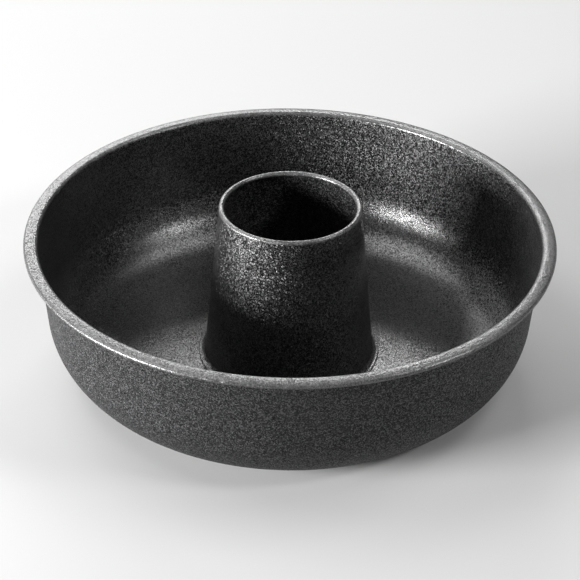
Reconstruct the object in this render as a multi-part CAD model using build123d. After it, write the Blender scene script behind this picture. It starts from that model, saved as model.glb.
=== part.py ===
from build123d import *

import math
import os

# A ring cake pan of coated sheet steel, in millimetres, standing on the XY plane with +Z up its middle.
# The pan is one drawn sheet: a collar round the hole in its floor, a flat floor, a deep rounded
# corner, a wall that leans outwards, and a flat rim whose edge is curled round a stiffening wire.
# The centre tube is a second sheet: a cone with its top edge curled inwards and its foot flared
# out over the floor. It is pushed down over the collar, which has the same cone.

# Stock
sheet = 0.6
wire_diameter = 1.2

# Pan
rim_diameter = 272.0
pan_height = 75.5
flange_width = 7.4
wall_lean = 4.1
corner_radius = 36.0
rim_bend_radius = 2.4
rim_crown_radius = 34.0
rim_curl_turn = 290.0
collar_height = 10.0

# Centre tube
tube_height = 88.8
tube_top_diameter = 73.3
tube_base_diameter = 90.0
tube_bead_diameter = 2.8
tube_bead_turn = 285.0
foot_flare_radius = 2.6
foot_width = 3.2

# Clearances
wire_clearance = 0.2
seat_clearance = 0.05

half_sheet = sheet / 2

# The curled edge lies outside the wire, and its outside gives the rim's full diameter. The flange
# is measured level, from there in to the mouth, where the wall meets the rim's bend.
curl_radius = wire_diameter / 2 + wire_clearance + sheet
curl_r = rim_diameter / 2 - curl_radius
crest_r = rim_diameter / 2 - flange_width + rim_bend_radius
crown_angle = math.asin((curl_r - crest_r) / (rim_crown_radius - curl_radius))
curl_z = pan_height - rim_crown_radius + (rim_crown_radius - curl_radius) * math.cos(crown_angle)

# The tube's outer face is a straight line in section. It passes through the base diameter at the
# floor's upper face and touches the outside of the curled bead, whose middle is at (bead_r, bead_z).
bead_radius = tube_bead_diameter / 2
bead_r = tube_top_diameter / 2 - bead_radius
bead_z = tube_height - bead_radius
cone_run = tube_base_diameter / 2 - bead_r
cone_rise = bead_z - sheet
cone_angle = math.acos(bead_radius / math.hypot(cone_run, cone_rise)) - math.atan2(cone_rise, cone_run)
cone_up = Vector(-math.sin(cone_angle), math.cos(cone_angle))
cone_out = Vector(math.cos(cone_angle), math.sin(cone_angle))

# The flare of the foot and the bend of the collar under it share one middle, so that they nest.
flare_z = foot_flare_radius + 2 * sheet + seat_clearance
flare_r = tube_base_diameter / 2 + (
    foot_flare_radius - (flare_z - sheet) * math.sin(cone_angle)
) / math.cos(cone_angle)
flare_centre = Vector(flare_r, flare_z)
flare_turn = 90 - math.degrees(cone_angle)


def spun_sheet(middle_line):
    """A sheet of even thickness that follows a middle line in the XZ plane, spun round the Z axis."""
    section = trace(middle_line.edges(), line_width=sheet)
    return revolve(Plane.XZ * section, axis=Axis.Z)


def pan_body():
    """The drawn pan, from the top of its collar out to the end of its curled edge."""
    lean = math.radians(wall_lean)
    bend_radius = rim_bend_radius - half_sheet
    corner_middle = corner_radius - half_sheet
    # The wall is the straight line that touches the corner's arc below and the rim's bend above.
    bend_centre = Vector(crest_r, pan_height - rim_bend_radius)
    wall_top = bend_centre + Vector(-math.cos(lean), math.sin(lean)) * bend_radius
    wall_rise = wall_top.Y - corner_radius
    corner_r = wall_top.X - (corner_middle + wall_rise * math.sin(lean)) / math.cos(lean)
    collar_radius = foot_flare_radius + sheet + seat_clearance + half_sheet
    collar_foot = flare_centre - cone_out * collar_radius
    collar_top = collar_foot + cone_up * (collar_height - collar_foot.Y)
    with BuildLine() as middle:
        collar = Line(collar_top, collar_foot)
        throat = JernArc(collar @ 1, collar % 1, collar_radius, flare_turn)
        floor = Line(throat @ 1, (corner_r, half_sheet))
        corner = JernArc(floor @ 1, floor % 1, corner_middle, 90 - wall_lean)
        wall = Line(corner @ 1, wall_top)
        bend = JernArc(wall @ 1, wall % 1, bend_radius, wall_lean - 90)
        crown = JernArc(bend @ 1, bend % 1, rim_crown_radius - half_sheet, -math.degrees(crown_angle))
        JernArc(crown @ 1, crown % 1, curl_radius - half_sheet, -rim_curl_turn)
    return spun_sheet(middle.line)


def rim_wire():
    """The wire ring that the pan's edge is curled round."""
    section = Pos(curl_r, curl_z) * Circle(wire_diameter / 2)
    return revolve(Plane.XZ * section, axis=Axis.Z)


def centre_tube():
    """The tube, from the edge of its flared foot up to the end of its curled bead."""
    flare_middle = foot_flare_radius + half_sheet
    bead_middle = bead_radius - half_sheet
    wall_foot = flare_centre - cone_out * flare_middle
    wall_top = Vector(bead_r, bead_z) + cone_out * bead_middle
    foot_edge = Vector(tube_base_diameter / 2 + foot_width, flare_z - flare_middle)
    with BuildLine() as middle:
        foot = Line(foot_edge, (flare_r, flare_z - flare_middle))
        JernArc(foot @ 1, foot % 1, flare_middle, -flare_turn)
        wall = Line(wall_foot, wall_top)
        JernArc(wall @ 1, wall % 1, bead_middle, tube_bead_turn)
    return spun_sheet(middle.line)


nodes = {
    "pan_body": pan_body(),
    "rim_wire": rim_wire(),
    "centre_tube": centre_tube(),
}

os.makedirs("parts", exist_ok=True)
for name, solid in nodes.items():
    export_step(solid, f"parts/{name}.step")
    box = solid.bounding_box()
    print(name, "volume", round(solid.volume, 1), "box", box.min, box.max)
print("tube cone angle", round(math.degrees(cone_angle), 2), "degrees")
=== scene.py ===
# %% [markdown]
# A ring cake pan in dark non-stick coated steel.
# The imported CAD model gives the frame: one body, and three nodes called pan_body, centre_tube and rim_wire.
# This lesson rebuilds the same three pieces as smooth meshes, in the same place, and gives them their finish.
# Every value is in millimetres until MM turns it into Blender's metres.

# %% Load the frame and keep the CAD model's box
import math

import bpy
from mathutils import Matrix, Vector


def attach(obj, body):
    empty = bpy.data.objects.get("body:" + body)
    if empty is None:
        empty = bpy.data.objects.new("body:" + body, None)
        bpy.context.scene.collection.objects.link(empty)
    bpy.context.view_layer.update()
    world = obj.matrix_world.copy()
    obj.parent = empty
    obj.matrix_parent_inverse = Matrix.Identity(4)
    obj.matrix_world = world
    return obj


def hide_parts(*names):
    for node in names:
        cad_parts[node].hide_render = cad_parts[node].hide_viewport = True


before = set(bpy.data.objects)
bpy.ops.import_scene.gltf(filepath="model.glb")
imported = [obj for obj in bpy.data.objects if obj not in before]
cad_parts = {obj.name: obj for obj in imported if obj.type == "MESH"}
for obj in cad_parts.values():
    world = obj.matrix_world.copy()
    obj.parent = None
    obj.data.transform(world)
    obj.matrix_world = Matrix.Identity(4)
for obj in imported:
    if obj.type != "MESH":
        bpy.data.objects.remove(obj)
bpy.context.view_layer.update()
MM = 0.001
print("nodes of the frame:", sorted(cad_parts))

# %% [markdown]
# The sizes are the drawing's own. The pan is a sheet 0.6 mm thick, and what is drawn below is the middle
# line of that sheet. Its points follow from a few sizes that a maker would measure: the width over the rim,
# the height, the lean of the wall and the radii of the bends.

# %% Sizes of the pan and of its rim
SHEET = 0.6
WIRE = 1.2
WIRE_CLEARANCE = 0.2
RIM_DIAMETER = 272.0
PAN_HEIGHT = 75.5
FLANGE_WIDTH = 7.4
WALL_LEAN = math.radians(4.1)
CORNER_RADIUS = 36.0
RIM_BEND_RADIUS = 2.4
RIM_CROWN_RADIUS = 34.0
RIM_CURL_TURN = math.radians(290.0)
COLLAR_HEIGHT = 10.0

half_sheet = SHEET / 2
curl_radius = WIRE / 2 + WIRE_CLEARANCE + SHEET
curl_r = RIM_DIAMETER / 2 - curl_radius
crest_r = RIM_DIAMETER / 2 - FLANGE_WIDTH + RIM_BEND_RADIUS
crown_turn = math.asin((curl_r - crest_r) / (RIM_CROWN_RADIUS - curl_radius))
curl_z = PAN_HEIGHT - RIM_CROWN_RADIUS + (RIM_CROWN_RADIUS - curl_radius) * math.cos(crown_turn)
print("the rim's curl is centred at radius", round(curl_r, 2), "height", round(curl_z, 2))

# %% Sizes of the centre tube
TUBE_HEIGHT = 88.8
TUBE_TOP_DIAMETER = 73.3
TUBE_BASE_DIAMETER = 90.0
BEAD_DIAMETER = 2.8
BEAD_TURN = math.radians(285.0)
FLARE_RADIUS = 2.6
FOOT_WIDTH = 3.2
SEAT_CLEARANCE = 0.05

bead_radius = BEAD_DIAMETER / 2
bead_r = TUBE_TOP_DIAMETER / 2 - bead_radius
bead_z = TUBE_HEIGHT - bead_radius
cone_run = TUBE_BASE_DIAMETER / 2 - bead_r
cone_rise = bead_z - SHEET
cone_lean = math.acos(bead_radius / math.hypot(cone_run, cone_rise)) - math.atan2(cone_rise, cone_run)
flare_z = FLARE_RADIUS + 2 * SHEET + SEAT_CLEARANCE
flare_out = (FLARE_RADIUS - (flare_z - SHEET) * math.sin(cone_lean)) / math.cos(cone_lean)
flare_r = TUBE_BASE_DIAMETER / 2 + flare_out
print("the tube's wall leans", round(math.degrees(cone_lean), 2), "degrees")

# %% [markdown]
# Drawn and spun sheet is round, so each piece starts as a section and is then spun round the Z axis.
# The section could be a curve, but a mesh drawn with extrude and spin has its points exactly where the bends
# begin and end. A plane merged to its centre is the single point that the drawing starts from.
# The pen remembers where the last point is and which way the line is heading.

# %% A pen that draws a section in the XZ plane
def start_section(name, r, z, heading):
    """A new piece with one point at radius r and height z. Heading 0 is outwards and 90 degrees is up."""
    bpy.ops.object.select_all(action="DESELECT")
    bpy.ops.mesh.primitive_plane_add(size=MM)
    piece = bpy.context.object
    piece.name = piece.data.name = name
    bpy.ops.object.mode_set(mode="EDIT")
    bpy.ops.mesh.merge(type="CENTER")
    bpy.ops.transform.translate(value=(r * MM, 0, z * MM))
    return {"piece": piece, "at": Vector((r, z)), "heading": heading}


def run(pen, length, steps):
    """Extrudes the last point straight ahead, in equal steps."""
    ahead = Vector((math.cos(pen["heading"]), math.sin(pen["heading"])))
    step = ahead * (length / steps) * MM
    for _ in range(steps):
        bpy.ops.mesh.extrude_region_move(TRANSFORM_OT_translate={"value": (step.x, 0, step.y)})
    pen["at"] = pen["at"] + ahead * length


def turn(pen, angle, radius, steps):
    """Spins the last point along an arc. A positive angle turns left, from outwards towards up."""
    side = math.copysign(1, angle)
    to_centre = Vector((-math.sin(pen["heading"]), math.cos(pen["heading"]))) * side * radius
    centre = pen["at"] + to_centre
    bpy.ops.mesh.spin(
        steps=steps, angle=abs(angle), center=(centre.x * MM, 0, centre.y * MM), axis=(0, side, 0)
    )
    pen["heading"] += angle
    pen["at"] = centre + Vector((math.sin(pen["heading"]), -math.cos(pen["heading"]))) * side * radius


# %% [markdown]
# The finished section is spun all the way round. Where the spin closes, its last points lie on its first,
# so doubles are merged, and the normals are recalculated before the sheet gets its thickness.
# Solidify lays the thickness half to each side of the middle line and keeps it even round the bends, as
# rolled sheet is. It can also give its second side another material slot, so two empty slots come first:
# the first ends up on the side that the cake touches, and the second on the other side of the sheet.
# A bevel then takes the sharpness off the cut edges.

# %% Spin a section into a sheet
ROUND_STEPS = 360
MERGE = 0.01
EDGE_SOFTENING = 0.12
SHARP = math.radians(50)


def apply_modifier(piece, kind, **settings):
    """Adds a modifier, sets it and applies it."""
    modifier = piece.modifiers.new(kind.title(), kind)
    for name, value in settings.items():
        setattr(modifier, name, value)
    bpy.context.view_layer.objects.active = piece
    bpy.ops.object.modifier_apply(modifier=modifier.name)


def spin_round(pen, steps):
    """Spins the drawn section round the Z axis and leaves a clean mesh in object mode."""
    bpy.ops.mesh.select_all(action="SELECT")
    bpy.ops.mesh.spin(steps=steps, angle=math.tau, center=(0, 0, 0), axis=(0, 0, 1))
    bpy.ops.mesh.select_all(action="SELECT")
    bpy.ops.mesh.remove_doubles(threshold=MERGE * MM)
    bpy.ops.mesh.normals_make_consistent(inside=False)
    bpy.ops.object.mode_set(mode="OBJECT")
    return pen["piece"]


def make_sheet(piece):
    """Gives the spun surface the sheet's thickness and two sides, and softens the sheet's cut edges."""
    for _ in ("cake side", "outer side"):
        piece.data.materials.append(None)
    apply_modifier(
        piece, "SOLIDIFY", thickness=SHEET * MM, offset=0, use_even_offset=True, material_offset=1
    )
    apply_modifier(
        piece, "BEVEL", width=EDGE_SOFTENING * MM, segments=2, limit_method="ANGLE", angle_limit=SHARP
    )
    bpy.ops.object.shade_smooth()
    print(piece.name, "has", len(piece.data.polygons), "faces and measures", measure(piece), "mm")
    return piece


def measure(piece):
    """The piece's lowest and highest corners, in millimetres."""
    corners = [[round(value / MM, 2) for value in corner] for corner in piece.bound_box]
    return min(corners), max(corners)


# %% [markdown]
# The pan is pressed from one sheet. Its line starts at the top of the collar round the hole in the floor,
# runs down, bends out into the flat floor, sweeps up through the deep corner into the wall, turns over the
# rim's bend, crosses the slightly crowned flange and curls over and under, round the wire.
# A lathe profile typed in as points would give the same shape, but each bend here says its own radius.

# %% Draw and spin the pan
def pan_sheet():
    """The pan's one sheet of steel."""
    bend_middle = RIM_BEND_RADIUS - half_sheet
    corner_middle = CORNER_RADIUS - half_sheet
    collar_radius = FLARE_RADIUS + SHEET + SEAT_CLEARANCE + half_sheet
    collar_foot_r = flare_r - collar_radius * math.cos(cone_lean)
    collar_foot_z = flare_z - collar_radius * math.sin(cone_lean)
    collar_length = COLLAR_HEIGHT - collar_foot_z
    wall_top_r = crest_r - bend_middle * math.cos(WALL_LEAN)
    wall_top_z = PAN_HEIGHT - RIM_BEND_RADIUS + bend_middle * math.sin(WALL_LEAN)
    wall_rise = wall_top_z - CORNER_RADIUS
    corner_r = wall_top_r - (corner_middle + wall_rise * math.sin(WALL_LEAN)) / math.cos(WALL_LEAN)
    wall_length = (wall_rise + corner_middle * math.sin(WALL_LEAN)) / math.cos(WALL_LEAN)

    pen = start_section(
        "pan_coated_sheet",
        collar_foot_r - collar_length * math.sin(cone_lean),
        collar_foot_z + collar_length * math.cos(cone_lean),
        cone_lean - math.pi / 2,
    )
    run(pen, collar_length, steps=3)
    turn(pen, math.pi / 2 - cone_lean, collar_radius, steps=10)
    run(pen, corner_r - pen["at"].x, steps=10)
    turn(pen, math.pi / 2 - WALL_LEAN, corner_middle, steps=30)
    run(pen, wall_length, steps=9)
    turn(pen, WALL_LEAN - math.pi / 2, bend_middle, steps=12)
    turn(pen, -crown_turn, RIM_CROWN_RADIUS - half_sheet, steps=3)
    turn(pen, -RIM_CURL_TURN, curl_radius - half_sheet, steps=29)
    return make_sheet(spin_round(pen, ROUND_STEPS))


pan = pan_sheet()

# %% [markdown]
# The centre tube is a second sheet. Its line starts at the edge of the flared foot that lies on the floor,
# bends up into the leaning wall and ends in a bead that is curled inwards.

# %% Draw and spin the centre tube
def tube_sheet():
    """The tube that leaves the ring cake its hole."""
    flare_middle = FLARE_RADIUS + half_sheet
    bead_middle = bead_radius - half_sheet
    cone_out = Vector((math.cos(cone_lean), math.sin(cone_lean)))
    wall_foot = Vector((flare_r, flare_z)) - cone_out * flare_middle
    wall_top = Vector((bead_r, bead_z)) + cone_out * bead_middle
    foot_edge_r = TUBE_BASE_DIAMETER / 2 + FOOT_WIDTH

    pen = start_section("centre_tube_sheet", foot_edge_r, flare_z - flare_middle, math.pi)
    run(pen, foot_edge_r - flare_r, steps=1)
    turn(pen, cone_lean - math.pi / 2, flare_middle, steps=12)
    run(pen, (wall_top - wall_foot).length, steps=24)
    turn(pen, BEAD_TURN, bead_middle, steps=30)
    return make_sheet(spin_round(pen, ROUND_STEPS))


tube = tube_sheet()

# %% [markdown]
# The wire keeps the wide, thin rim round and stiff. It is a circle of points, turned upright, moved out to the
# middle of the curl and spun once. A torus would give the same ring, but this one is spun as the sheets are,
# in the same steps, so it keeps its clearance inside the curl all the way round.

# %% Spin the rim's wire
WIRE_SIDES = 20


def wire_ring():
    """The wire inside the rim's curl."""
    bpy.ops.object.select_all(action="DESELECT")
    bpy.ops.mesh.primitive_circle_add(vertices=WIRE_SIDES, radius=WIRE / 2 * MM)
    piece = bpy.context.object
    piece.name = piece.data.name = "rim_wire_ring"
    bpy.ops.object.mode_set(mode="EDIT")
    bpy.ops.transform.rotate(value=math.pi / 2, orient_axis="X", center_override=(0, 0, 0))
    bpy.ops.transform.translate(value=(curl_r * MM, 0, curl_z * MM))
    ring = spin_round({"piece": piece}, ROUND_STEPS)
    bpy.ops.object.shade_smooth()
    print(ring.name, "has", len(ring.data.polygons), "faces and measures", measure(ring), "mm")
    return ring


wire = wire_ring()

# %% [markdown]
# Non-stick coating looks near black, but it isn't flat. Its dark coat is full of tiny mineral flakes that lie
# at slightly different angles, some dull and some bright, and this gives the fine sparkle in the photograph.
# A thin clear coat runs over them, smoother, and thicker in some places than in others. The whole has a faint
# orange peel, and its gloss changes slowly where the spray lay thicker. A dark colour with a single roughness
# would look like plastic. All of it reads Object coordinates, in metres, so the grain has its real size.

# %% Helpers for node materials
def new_material(name):
    """An empty node material with its shader and its object coordinates."""
    material = bpy.data.materials.new(name)
    material.use_nodes = True
    nodes = material.node_tree.nodes
    shader = nodes["Principled BSDF"]
    place = nodes.new("ShaderNodeTexCoord")
    return material, nodes, material.node_tree.links, shader, place.outputs["Object"]


def noise(nodes, links, place, size, detail=2.0):
    """A noise whose blotches are about size millimetres across."""
    node = nodes.new("ShaderNodeTexNoise")
    node.inputs["Scale"].default_value = 1 / (size * MM)
    node.inputs["Detail"].default_value = detail
    links.new(place, node.inputs["Vector"])
    return node.outputs["Fac"]


def remap(nodes, links, value, low, high, new_low=0.0, new_high=1.0):
    """Maps a range of a value to another range, and holds what lies outside it at the ends."""
    node = nodes.new("ShaderNodeMapRange")
    node.inputs["From Min"].default_value = low
    node.inputs["From Max"].default_value = high
    node.inputs["To Min"].default_value = new_low
    node.inputs["To Max"].default_value = new_high
    links.new(value, node.inputs["Value"])
    return node.outputs["Result"]


def combine(nodes, links, operation, first, second):
    """One value from two, by a Math node."""
    node = nodes.new("ShaderNodeMath")
    node.operation = operation
    links.new(first, node.inputs[0])
    links.new(second, node.inputs[1])
    return node.outputs["Value"]


def grey(level, blue=1.0):
    """A grey of a level from 0 to 1, with its blue raised or lowered."""
    return (level, level, level * blue, 1)


def blend(nodes, links, amount, first, second):
    """Goes from the first colour to the second. The first may be a socket of another node."""
    node = nodes.new("ShaderNodeMix")
    node.data_type = "RGBA"
    links.new(amount, node.inputs[0])
    if isinstance(first, tuple):
        node.inputs[6].default_value = first
    else:
        links.new(first, node.inputs[6])
    node.inputs[7].default_value = second
    return node.outputs[2]


# %% [markdown]
# The highest edges of the pan, the flat rim and the bead of the tube, catch thin lines of light. Here that
# light
# is painted in: the coating's colour is made paler there, as a painted highlight. The mask could be painted on
# the mesh, but these edges are round, so their height and their distance from the middle find them exactly. A
# noise makes the painted highlight uneven.

# %% Where a highlight is painted on the coating
RIM_HIGHLIGHT_HEIGHTS = (73.6, 75.0)
RIM_HIGHLIGHT_RADII = (126.5, 129.5)
BEAD_HIGHLIGHT_HEIGHTS = (86.8, 87.9)
# The paler grey of the painted highlight on the rim and the bead.
PAINTED_HIGHLIGHT_GREY = 0.075
HIGHLIGHT_BLOTCH = 6.0
LEAST_HIGHLIGHT = 0.6


def painted_edge_highlight(nodes, links, place):
    """How much painted highlight lies on the coating: 0 on the walls, and up to 1 on the rim and on the tube's
    bead.
    """
    axes = nodes.new("ShaderNodeSeparateXYZ")
    links.new(place, axes.inputs[0])
    level = nodes.new("ShaderNodeVectorMath")
    level.operation = "MULTIPLY"
    level.inputs[1].default_value = (1, 1, 0)
    links.new(place, level.inputs[0])
    radius = nodes.new("ShaderNodeVectorMath")
    radius.operation = "LENGTH"
    links.new(level.outputs["Vector"], radius.inputs[0])

    ramps = []
    for value, (starts, full) in (
        (axes.outputs["Z"], RIM_HIGHLIGHT_HEIGHTS),
        (radius.outputs["Value"], RIM_HIGHLIGHT_RADII),
        (axes.outputs["Z"], BEAD_HIGHLIGHT_HEIGHTS),
    ):
        ramps.append(remap(nodes, links, value, starts * MM, full * MM))
    on_rim = combine(nodes, links, "MULTIPLY", ramps[0], ramps[1])
    on_edges = combine(nodes, links, "MAXIMUM", on_rim, ramps[2])
    blotches = noise(nodes, links, place, HIGHLIGHT_BLOTCH, detail=3.0)
    uneven = remap(nodes, links, blotches, 0.3, 0.7, LEAST_HIGHLIGHT, 1.0)
    return combine(nodes, links, "MULTIPLY", on_edges, uneven)


# %% [markdown]
# The side that the cake touches has the full clear coat, which gives the soft bands of light in the deep
# corner. The other side has a duller, rougher lacquer, as such pans do, because nothing has to slide off it.
# The flakes are the cells of a Voronoi texture, and each cell's random colour gives its flake's lightness,
# its shine, the thickness of the clear coat over it and its tilt.

# %% The coatings
GRAIN = 0.6
GRAIN_DEPTH = 0.1
SLOW_CHANGE = 28.0
FLAKE = 0.5
DARKEST = 0.001
BLUISH = 1.04
DULL_FLAKE = 0.05
FLAKE_TILT = 0.65
THIN_COAT = 0.15
COAT_TILT = 0.07
COAT_IOR = 1.85


def tilted_normals(nodes, links, bumped, random_colour, tilt):
    """Leans the normal of each flake its own way, by up to half of tilt on each axis."""
    centred = nodes.new("ShaderNodeVectorMath")
    centred.operation = "SUBTRACT"
    centred.inputs[1].default_value = (0.5, 0.5, 0.5)
    links.new(random_colour, centred.inputs[0])
    leaning = nodes.new("ShaderNodeVectorMath")
    leaning.operation = "MULTIPLY_ADD"
    leaning.inputs[1].default_value = (tilt, tilt, tilt)
    links.new(centred.outputs["Vector"], leaning.inputs[0])
    links.new(bumped, leaning.inputs[2])
    levelled = nodes.new("ShaderNodeVectorMath")
    levelled.operation = "NORMALIZE"
    links.new(leaning.outputs["Vector"], levelled.inputs[0])
    return levelled.outputs["Vector"]


def coating(name, light, roughness, specular, coat, coat_roughness):
    """A dark, grainy, sprayed coating. Light is the colour of its palest flakes."""
    material, nodes, links, shader, place = new_material(name)
    grain = noise(nodes, links, place, GRAIN)
    slow = noise(nodes, links, place, SLOW_CHANGE)
    flakes = nodes.new("ShaderNodeTexVoronoi")
    flakes.inputs["Scale"].default_value = 1 / (FLAKE * MM)
    links.new(place, flakes.inputs["Vector"])
    random_colour = flakes.outputs["Color"]
    parts = nodes.new("ShaderNodeSeparateColor")
    links.new(random_colour, parts.inputs["Color"])

    palest = remap(nodes, links, parts.outputs["Red"], 0.6, 1.0)
    colour = blend(nodes, links, palest, grey(DARKEST), grey(light, BLUISH))
    # Painted highlight: the coating's colour is made paler on the rim and on the tube's bead.
    edge_highlighted = blend(nodes, links, painted_edge_highlight(nodes, links, place), colour, grey(PAINTED_HIGHLIGHT_GREY))
    links.new(edge_highlighted, shader.inputs["Base Color"])

    fine_gloss = remap(nodes, links, grain, 0.25, 0.75, -0.05, 0.05)
    slow_gloss = remap(nodes, links, slow, 0.3, 0.7, roughness - 0.03, roughness + 0.03)
    links.new(combine(nodes, links, "ADD", fine_gloss, slow_gloss), shader.inputs["Roughness"])
    shader.inputs["Specular IOR Level"].default_value = specular
    shine = remap(nodes, links, parts.outputs["Blue"], 0.3, 0.9, DULL_FLAKE, 1.0)
    links.new(shine, shader.inputs["Specular Tint"])

    clear = remap(nodes, links, parts.outputs["Green"], 0.25, 0.65, THIN_COAT * coat, coat)
    links.new(clear, shader.inputs["Coat Weight"])
    shader.inputs["Coat IOR"].default_value = COAT_IOR
    shader.inputs["Coat Roughness"].default_value = coat_roughness

    peel = nodes.new("ShaderNodeBump")
    peel.inputs["Distance"].default_value = GRAIN_DEPTH * MM
    links.new(grain, peel.inputs["Height"])
    for tilt, socket in ((FLAKE_TILT, "Normal"), (COAT_TILT, "Coat Normal")):
        leaning = tilted_normals(nodes, links, peel.outputs["Normal"], random_colour, tilt)
        links.new(leaning, shader.inputs[socket])
    return material


# %% [markdown]
# Bare drawn wire is a metal with fine streaks from the die, so only its roughness changes. It is hidden in the
# curl, and has its finish for whoever takes the pan apart.

# %% The wire's finish
STREAK = 0.5


def steel():
    """Plain drawn wire, which has fine streaks of gloss."""
    material, nodes, links, shader, place = new_material("drawn_steel_wire")
    shader.inputs["Base Color"].default_value = (0.55, 0.55, 0.56, 1)
    shader.inputs["Metallic"].default_value = 1.0
    streaks = noise(nodes, links, place, STREAK)
    links.new(remap(nodes, links, streaks, 0.3, 0.7, 0.3, 0.45), shader.inputs["Roughness"])
    return material


# %% [markdown]
# Slot 0 of each sheet is the side that the cake touches, and slot 1 the other. The two finishes differ only
# in their numbers, so one function makes both.

# %% Give each side of the sheets its finish
cake_side = coating(
    "dark_nonstick", light=0.016, roughness=0.5, specular=1.0, coat=0.85, coat_roughness=0.22
)
outer_side = coating(
    "outer_lacquer", light=0.09, roughness=0.6, specular=0.22, coat=0.25, coat_roughness=0.4
)
for piece in (pan, tube):
    piece.data.materials[0] = cake_side
    piece.data.materials[1] = outer_side
wire.data.materials.append(steel())
for piece in (pan, tube, wire):
    print(piece.name, "wears", [material.name for material in piece.data.materials])

# %% [markdown]
# Each new piece rides on the frame's one body, and the CAD node that it stands for is hidden.

# %% Put the pieces on the frame
for piece, node, slot in (
    (pan, "pan_body", "nonstick_coating"),
    (tube, "centre_tube", "nonstick_coating"),
    (wire, "rim_wire", "steel_wire"),
):
    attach(piece, "root")
    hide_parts(node)

# %% [markdown]
# The photograph looks down at the pan at about 35 degrees. The camera's distance, height and lens were worked
# out from how the rim's ellipse, the tube's ring and the foot's ring lie to each other. A camera set by eye
# could match one of these ellipses, but not all three.

# %% Camera
CAMERA_BACK = 725.0
CAMERA_UP = 511.5
FOCAL_PIXELS = 1646.0
IMAGE_PIXELS = 580
SENSOR = 36.0
AIM_RIGHT = 0.0003
AIM_UP = 0.0351
ROLL = 0.01245


def photo_camera():
    """The camera at the photograph's viewpoint."""
    place = Vector((0, -CAMERA_BACK, CAMERA_UP)) * MM
    ahead = -place.normalized()
    right = Vector((1, 0, 0))
    ahead = (ahead + right * AIM_RIGHT + right.cross(ahead) * AIM_UP).normalized()
    right = (right - ahead * right.dot(ahead)).normalized()
    up = right.cross(ahead)
    right, up = (
        right * math.cos(ROLL) + up * math.sin(ROLL),
        up * math.cos(ROLL) - right * math.sin(ROLL),
    )
    data = bpy.data.cameras.new("photo_camera")
    data.lens = FOCAL_PIXELS / IMAGE_PIXELS * SENSOR
    data.sensor_width = SENSOR
    data.clip_start = 0.01
    camera = bpy.data.objects.new("photo_camera", data)
    bpy.context.scene.collection.objects.link(camera)
    camera.matrix_world = Matrix.Translation(place) @ Matrix((right, up, -ahead)).transposed().to_4x4()
    bpy.context.scene.camera = camera
    print("lens", round(data.lens, 1), "mm")


photo_camera()

# %% [markdown]
# The floor is plain and pale, and so wide that no edge of it shows from the side. It is a light grey, because
# a white one throws so much light up at the pan that its outer wall loses its darkness. Far out, where the
# lamps don't reach, it would turn dark behind the pan. There it gets a glow that only the camera and
# reflections see, so it stays pale. A backdrop wall would do the same for one view, but not for all of them.

# %% Floor
FLOOR_SIZE = 60000.0
FLOOR_GREY = 0.54
GLOW = 0.9
GLOW_STARTS = 650.0
GLOW_IS_FULL = 1900.0


def far_glow(nodes, links, place):
    """A glow that grows with the distance from the pan, for the camera and for reflections only."""
    distance = nodes.new("ShaderNodeVectorMath")
    distance.operation = "LENGTH"
    links.new(place, distance.inputs[0])
    glow = remap(
        nodes, links, distance.outputs["Value"], GLOW_STARTS * MM, GLOW_IS_FULL * MM, 0.0, GLOW
    )
    path = nodes.new("ShaderNodeLightPath")
    seen = path.outputs["Is Camera Ray"]
    for ray in ("Is Glossy Ray", "Is Transmission Ray"):
        seen = combine(nodes, links, "MAXIMUM", seen, path.outputs[ray])
    return combine(nodes, links, "MULTIPLY", glow, seen)


def floor():
    """A plain pale floor that runs on far behind the pan."""
    bpy.ops.object.select_all(action="DESELECT")
    bpy.ops.mesh.primitive_plane_add(size=FLOOR_SIZE * MM)
    piece = bpy.context.object
    piece.name = piece.data.name = "studio_floor"
    material, nodes, links, shader, place = new_material("studio_floor")
    shader.inputs["Base Color"].default_value = grey(FLOOR_GREY)
    shader.inputs["Roughness"].default_value = 0.9
    shader.inputs["Emission Color"].default_value = grey(1.0)
    links.new(far_glow(nodes, links, place), shader.inputs["Emission Strength"])
    piece.data.materials.append(material)


floor()

# %% [markdown]
# The highlights of the photograph say where its lamps stood. A low one on the left, a little in front, lights
# the tube and the left of the rim, and a wide one low behind the pan gives the bands of light in the deep
# corner and on the floor. Two wide ones overhead light the rim and the walls, and smaller ones behind, on the
# right and down on the left add the last highlights. The world is only a faint fill. Lamps of real size make
# highlights with soft edges, where point lamps would make spots.

# %% World
FILL = 0.03

world = bpy.data.worlds.new("studio")
bpy.context.scene.world = world
world.use_nodes = True
background = world.node_tree.nodes["Background"]
background.inputs["Color"].default_value = grey(1.0)
background.inputs["Strength"].default_value = FILL
bpy.context.scene.view_settings.view_transform = "Standard"

# %% Lamps
LAMP_DISTANCE = 1600.0


def soft_lamp(name, azimuth, elevation, width, height, power):
    """A soft lamp that faces the pan. Azimuth 0 is behind the pan and 90 is to its right."""
    turned, raised = math.radians(azimuth), math.radians(elevation)
    level = math.cos(raised)
    place = Vector((math.sin(turned) * level, math.cos(turned) * level, math.sin(raised)))
    place *= LAMP_DISTANCE * MM
    data = bpy.data.lights.new(name, "AREA")
    data.shape = "RECTANGLE"
    data.size = width * MM
    data.size_y = height * MM
    data.energy = power
    lamp = bpy.data.objects.new(name, data)
    bpy.context.scene.collection.objects.link(lamp)
    facing = (-place).to_track_quat("-Z", "Y").to_matrix().to_4x4()
    lamp.matrix_world = Matrix.Translation(place) @ facing
    lamp.visible_camera = False
    print(name, "stands at", [round(value, 2) for value in place], "m")


soft_lamp("key_low_left", -117, 14, 650, 360, 68)
soft_lamp("back_bank", -18, 28, 900, 700, 10.5)
soft_lamp("back_right_small", 7, 33, 300, 260, 4.4)
soft_lamp("top_left", -70, 60, 900, 800, 10)
soft_lamp("top_right", 80, 60, 700, 600, 6)
soft_lamp("right_small", 111, 39, 300, 250, 7)
soft_lamp("left_low", -96, 4, 500, 150, 16)
